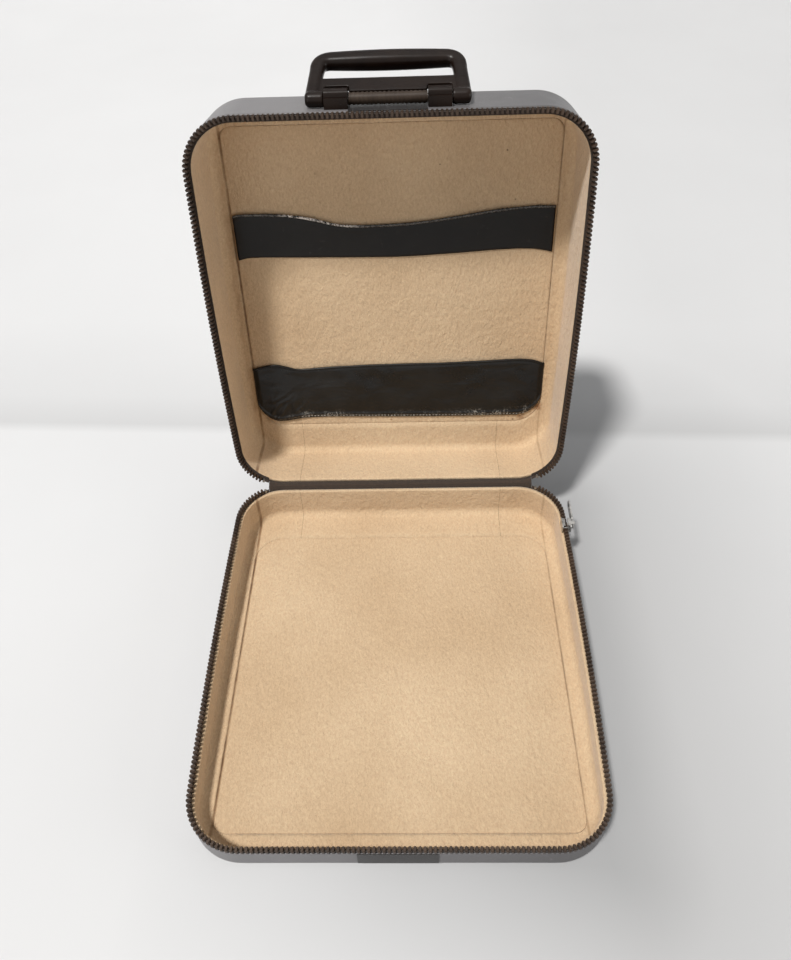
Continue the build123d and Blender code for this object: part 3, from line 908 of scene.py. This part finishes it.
def edge_height(points, x):
    """The height of a smooth curve through an edge's points, at X."""
    places = [place * mm for place, _ in points]
    heights = [height * mm for _, height in points]
    last = len(points) - 1
    left = max(index for index in range(last) if index == 0 or places[index] <= x)

    def slope_at(index):
        """The curve's slope at one of its points."""
        before, after = max(0, index - 1), min(last, index + 1)
        return (heights[after] - heights[before]) / (places[after] - places[before])

    run = places[left + 1] - places[left]
    t = clamped((x - places[left]) / run)
    first, second = heights[left], heights[left + 1]
    return (
        (2 * t ** 3 - 3 * t ** 2 + 1) * first
        + (t ** 3 - 2 * t ** 2 + t) * run * slope_at(left)
        + (3 * t ** 2 - 2 * t ** 3) * second
        + (t ** 3 - t ** 2) * run * slope_at(left + 1)
    )


def on_panel(x, height, rise):
    """A point on the closed lid, from its distance to the hinge end and its rise off the panel."""
    return Vector((x, half_depth - height, case_height - sheet_face - rise))


def sheet_rows(half_span, bottom, top, relief, columns, rows):
    """A sheet's points, column by column, from its bottom edge up and round its rolled top edge."""
    grid = []
    for column in range(columns + 1):
        x = -half_span + 2 * half_span * column / columns
        low, high = bottom(x), top(x) - edge_roll
        line = []
        for step in range(rows + 1):
            part = 0.5 - 0.5 * math.cos(math.pi * step / rows)
            height = low + (high - low) * part
            line.append((height, relief(x, height, height - low, high - height)))
        rise = line[-1][1] + 0.4 * edge_roll
        size = edge_roll * (1 + 0.25 * noise.noise(Vector((x / 0.02, 3, 0))))
        for step in range(9):
            angle = roll_start - roll_turn * step / 8
            line.append((high + size * math.cos(angle), rise + size * math.sin(angle)))
        grid.append(placed([on_panel(x, height, rise) for height, rise in line], True))
    return grid


def thicken(piece, thickness):
    """Give a surface its thickness, half to each side."""
    solid = piece.modifiers.new("thickness", "SOLIDIFY")
    solid.thickness = thickness
    solid.offset = 0.0


def add_sheet(name, rows, flat_rows, materials, node):
    """A sheet of black vinyl on the lid, with its rolled edge in the second material."""
    sheet = grid_object(name, rows, *materials)
    for polygon in sheet.data.polygons:
        if polygon.index % (len(rows[0]) - 1) >= flat_rows:
            polygon.material_index = 1
    thicken(sheet, sheet_thickness)
    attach(sheet, "lid")
    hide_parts(node)


def add_band(materials):
    """The upper band: nearly smooth, with a rolled upper edge that sags in the middle."""
    flat_rows = 26

    def relief(x, height, from_bottom, from_top):
        """How far the band stands off the panel."""
        place = Vector((x, height, 0))
        edge = min(from_bottom, from_top + 2 * mm)
        ease = min(1.0, edge / (5 * mm))
        folds = waviness(place, 38 * mm, 0.6 * mm) + waviness(place, 13 * mm, 0.2 * mm)
        hem = 0.25 * mm * math.exp(-((from_top - 4 * mm) / (0.8 * mm)) ** 2)
        return 0.8 * mm * min(1.0, edge / (1.0 * mm)) + (folds + hem) * ease

    rows = sheet_rows(
        band_half,
        lambda x: edge_height(band_bottom, x),
        lambda x: edge_height(band_top, x),
        relief, 180, flat_rows,
    )
    add_sheet("lid_vinyl_band", rows, flat_rows, materials, "upper_band")


def pocket_foot(x):
    """The pocket's bottom edge at X, with its two round corners."""
    past = abs(x) - (pocket_half - pocket_corner)
    lift = pocket_corner - math.sqrt(max(0.0, pocket_corner ** 2 - past ** 2)) if past > 0 else 0.0
    return edge_height(pocket_bottom, x) + lift


def pocket_relief(x, height, from_bottom, from_top):
    """How far the slack pocket stands off the panel, with its puckers and creases."""
    place = Vector((x, height, 1))
    edge = min(from_bottom, from_top + 2 * mm, pocket_half - abs(x))
    slack = waviness(place, 32 * mm, 1.2 * mm) + waviness(place, 12 * mm, 0.4 * mm)
    puff = 1.0 * mm * math.sin(math.pi * min(1.0, from_bottom / (60 * mm)))
    lip = 0.9 * mm * math.exp(-((from_bottom - 4.5 * mm) / (1.6 * mm)) ** 2)
    pucker = 0.45 * mm * math.sin(math.tau * x / (5.1 * mm) + 3 * noise.noise(Vector((x / 0.03, 0, 0))))
    pucker *= math.exp(-from_bottom / (4 * mm))
    near = math.exp(-((x + 116 * mm) / (20 * mm)) ** 2 - ((height - 57 * mm) / (14 * mm)) ** 2)
    ridge = noise.noise(Vector((x / 0.008 - height / 0.010, height / 0.022 + x / 0.06, 3)))
    crease = 4.0 * mm * near * max(0.0, 0.35 - abs(ridge))
    settled = min(1.0, edge / (5 * mm))
    rise = 0.8 * mm * min(1.0, edge / (1.0 * mm)) + (slack + puff + crease + 0.6 * mm) * settled
    return rise + (lip + pucker) * min(1.0, edge / (2 * mm))


def add_pocket(materials, thread):
    """The lower pocket: slack, creased at its lower left, gathered along its stitched bottom edge."""
    flat_rows = 60
    rows = sheet_rows(
        pocket_half, pocket_foot, lambda x: edge_height(pocket_top, x), pocket_relief, 420, flat_rows,
    )
    add_sheet("lid_vinyl_pocket", rows, flat_rows, materials, "lower_pocket")
    first_stitch = -97.0 * mm
    last_stitch = 126.0 * mm
    stitch_pitch = 3.2 * mm
    stitch_length = 2.1 * mm
    thread_radius = 0.36 * mm
    shape = bmesh.new()
    x = first_stitch
    while x < last_stitch:
        from_edge = 2.4 * mm + waviness(Vector((x, 0, 7)), 12 * mm, 0.25 * mm)
        height = pocket_foot(x) + from_edge
        rise = pocket_relief(x, height, from_edge, 40 * mm)
        place = on_panel(x, height, rise + 0.35 * mm)
        add_stitch(shape, opening @ Matrix.Translation(place), stitch_length, thread_radius)
        x += stitch_pitch
    stitches = mesh_object("lid_pocket_thread", shape, thread)
    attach(stitches, "lid")
    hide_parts("pocket_stitches")


def add_stitch(shape, place, length, radius):
    """One stitch: a short round thread along X that dives at both ends."""
    rings = []
    for step in range(7):
        share = step / 6
        x = (share - 0.5) * length
        z = radius * 1.6 * (2 * share - 1) ** 4
        circle = turning(math.tau, 6)[:-1]
        rings.append([place @ Vector((x, radius * cos, z + radius * sin)) for cos, sin in circle])
    join_rows(shape, rings, tube=True)


# The handle's ring, drawn with its pivot at the origin, X along the pin and Y along its arms

handle_height = 52.0 * mm
pivot_stand_off = 5.7 * mm
handle_lean = math.radians(65.0)
ring_half_width = 61.5 * mm
ring_half_top = 58.5 * mm
arm_half_width = 5.5 * mm
arm_half_thickness = 4.5 * mm
grip_centre = 44.4 * mm
grip_swell = 1.5 * mm
grip_extra = 0.8 * mm
bend_reach = 10.0 * mm
lobe_radius = 5.5 * mm
lobe_round = 3.2 * mm
lobe_start = 47.4 * mm
bore_radius = 2.2 * mm
web_half_width = 53.0 * mm
web_half_thickness = 2.5 * mm
web_top = 21.0 * mm
web_notch = 11.6 * mm
web_foot = 5.8 * mm
notch_half_width = 29.1 * mm
arm_foot = 3.0 * mm
arm_inside = 55.0 * mm
swell_start = 30.0 * mm


def ring_line():
    """The middle of the arms and the grip, from the left lobe over the top to the right one."""
    foot = Vector((arm_half_width - ring_half_width, arm_foot))
    corner = Vector((arm_half_width - ring_half_top, grip_centre))
    up = (corner - foot).normalized()
    left = [foot.lerp(corner - up * bend_reach, step / 8) for step in range(8)]
    before = corner - up * bend_reach
    after = corner + Vector((bend_reach, 0))
    for step in range(13):
        share = step / 12
        left.append(before.lerp(corner, share).lerp(corner.lerp(after, share), share))
    grip = [Vector((after.x * (1 - step / 12), grip_centre)) for step in range(1, 13)]
    half = left + grip
    return half + [Vector((-point.x, point.y)) for point in reversed(half[:-1])]


def add_ring_bar(shape):
    """The arms and the grip: one rounded bar that swells towards the grip's middle."""
    line = ring_line()
    squareness = 2.5
    rows = []
    for index, point in enumerate(line):
        before = line[max(0, index - 1)]
        after = line[min(len(line) - 1, index + 1)]
        along = (after - before).normalized()
        across = Vector((-along.y, along.x))
        top = clamped((point.y - swell_start) / (grip_centre - swell_start))
        middle = math.cos(quarter_turn * min(1.0, abs(point.x) / ring_half_top))
        swell = top * (grip_extra + grip_swell * middle)
        row = []
        for cos, sin in turning(math.tau, 24)[:-1]:
            wide = math.copysign(abs(cos) ** (2 / squareness), cos) * (arm_half_width + swell * 0.8)
            thick = math.copysign(abs(sin) ** (2 / squareness), sin) * (arm_half_thickness + swell)
            row.append((*(point + across * wide), thick))
        rows.append(row)
    verts = join_rows(shape, rows, tube=True)
    shape.faces.new(verts[0])
    shape.faces.new(verts[-1])


def add_lobe(shape, side):
    """One lobe round the pin, with a well rounded outer end."""
    profile = [(lobe_start, bore_radius), (lobe_start, lobe_radius)]
    for cos, sin in turning(quarter_turn, 6):
        profile.append((ring_half_width - lobe_round * (1 - sin), lobe_radius - lobe_round * (1 - cos)))
    profile.append((ring_half_width, bore_radius))
    rows = []
    for cos, sin in turning(math.tau, 32)[:-1]:
        rows.append([(side * x, radius * cos, radius * sin) for x, radius in profile])
    join_rows(shape, rows, ring=True, tube=True)


def add_web_block(shape, low, high):
    """One block of the web, between two corners."""
    size = [high[0] - low[0], high[1] - low[1], 2 * web_half_thickness]
    middle = ((low[0] + high[0]) / 2, (low[1] + high[1]) / 2, 0)
    place = Matrix.Translation(middle) @ Matrix.Diagonal((*size, 1))
    bmesh.ops.create_cube(shape, size=1.0, matrix=place)


def add_handle_ring(material):
    """The moulded ring: bar, web and lobes grown into one body with soft blends."""
    shape = bmesh.new()
    add_ring_bar(shape)
    overlap = web_notch + 1 * mm
    add_web_block(shape, (-web_half_width, web_notch), (web_half_width, web_top))
    add_web_block(shape, (-notch_half_width, web_foot), (notch_half_width, overlap))
    for side in (-1, 1):
        add_lobe(shape, side)
        near, distant = sorted((side * lobe_start, side * arm_inside))
        add_web_block(shape, (near, arm_foot), (distant, overlap))
    ring = mesh_object("handle_moulded_ring", shape)
    fuse = ring.modifiers.new("fuse", "REMESH")
    fuse.mode = "VOXEL"
    fuse.voxel_size = 0.6 * mm
    soften = ring.modifiers.new("soften", "SMOOTH")
    soften.factor = 0.5
    soften.iterations = 14
    result = ring.evaluated_get(bpy.context.evaluated_depsgraph_get())
    mesh = bpy.data.meshes.new_from_object(result)
    ring.modifiers.clear()
    ring.data = mesh
    turn = Matrix.Rotation(math.pi - handle_lean, 4, "X")
    pivot = Vector((0, -half_depth - pivot_stand_off, handle_height))
    mesh.transform(opening @ Matrix.Translation(pivot) @ turn)
    mesh.shade_smooth()
    mesh.materials.append(material)
    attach(ring, "handle")
    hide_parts("handle_ring")


# Everything that keeps its solid's shape

def dress(nodes, material):
    """Give CAD nodes one material."""
    for node in nodes:
        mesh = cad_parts[node].data
        mesh.materials.clear()
        mesh.materials.append(material)


def dress_solids():
    """The materials of the nodes that show as they are."""
    stripe = vinyl("black_stripe_vinyl", (0.012, 0.011, 0.011), (0.022, 0.02, 0.02), 0.42)
    dress(["base_stripe", "lid_stripe"], stripe)
    teeth = moulded("brown_zip_teeth", (0.026, 0.015, 0.009), (0.070, 0.044, 0.029), 0.34, 0.35)
    dress(["zip_teeth_base", "zip_teeth_lid"], teeth)
    tape = woven("brown_zip_tape", (0.016, 0.0095, 0.006), (0.042, 0.026, 0.017))
    dress(["zip_tape_base", "zip_tape_lid"], tape)
    handle = moulded("dark_handle_plastic", (0.006, 0.0026, 0.0015), (0.013, 0.0066, 0.0040), 0.25, 0.18)
    dress(["handle_bracket_left", "handle_bracket_right"], handle)
    ribbed = moulded("ribbed_sleeve_plastic", (0.028, 0.017, 0.011), (0.060, 0.042, 0.030), 0.42, 0.25)
    dress(["handle_sleeve"], ribbed)
    plated = metal("plated_steel", (0.56, 0.55, 0.53), 0.30)
    dress(["zip_slider", "zip_pull_tab", "zip_stops_base", "zip_stops_lid"], plated)
    dress(["handle_pin", "handle_rivets", "handle_backing_plate"], plated)
    dress(["base_board", "lid_board"], board("fibre_board", (0.17, 0.085, 0.04)))
    return tape, handle


def add_hinge_strip(material):
    """The flexible hinge strip, one sheet that folds along the line between base and lid."""
    reach = rim_distance + tape_depth
    half = 128.7 * mm
    columns = 84
    rows = []
    for column in range(columns + 1):
        x = -half + 2 * half * column / columns
        y = back_line(x, zip_line)
        low = [Vector((x, y, hinge.z - reach + reach * step / 10)) for step in range(11)]
        high = [Vector((x, y, hinge.z + reach * step / 10)) for step in range(1, 11)]
        rows.append(low + placed(high, True))
    strip = grid_object("folding_hinge_strip", rows, material)
    thicken(strip, tape_thickness)
    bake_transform(strip)
    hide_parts("hinge_strip_lower", "hinge_strip_upper")


def main():
    """Build and dress the whole scene."""
    bpy.context.scene.view_settings.view_transform = "Standard"
    add_camera()
    add_lights()
    add_stage()
    tape, handle = dress_solids()
    add_hinge_strip(tape)
    add_handle_ring(handle)
    add_covers()
    add_linings()
    inner = vinyl(
        "black_inner_vinyl", (0.0055, 0.0045, 0.004), (0.010, 0.0085, 0.0072), 0.36,
        grain=0.00006, gloss=0.22, creased=0.0006,
    )
    rolled = painted_highlight_edge("black_rolled_edge", -100 * mm, -25 * mm)
    thread = woven("pocket_thread", (0.30, 0.28, 0.25), (0.60, 0.57, 0.52), 2600.0)
    add_band([inner, rolled])
    flaking = pocket_vinyl("black_pocket_vinyl", (0.0055, 0.0048, 0.0042), (0.010, 0.009, 0.0078), 0.32)
    add_pocket([flaking, inner], thread)


main()
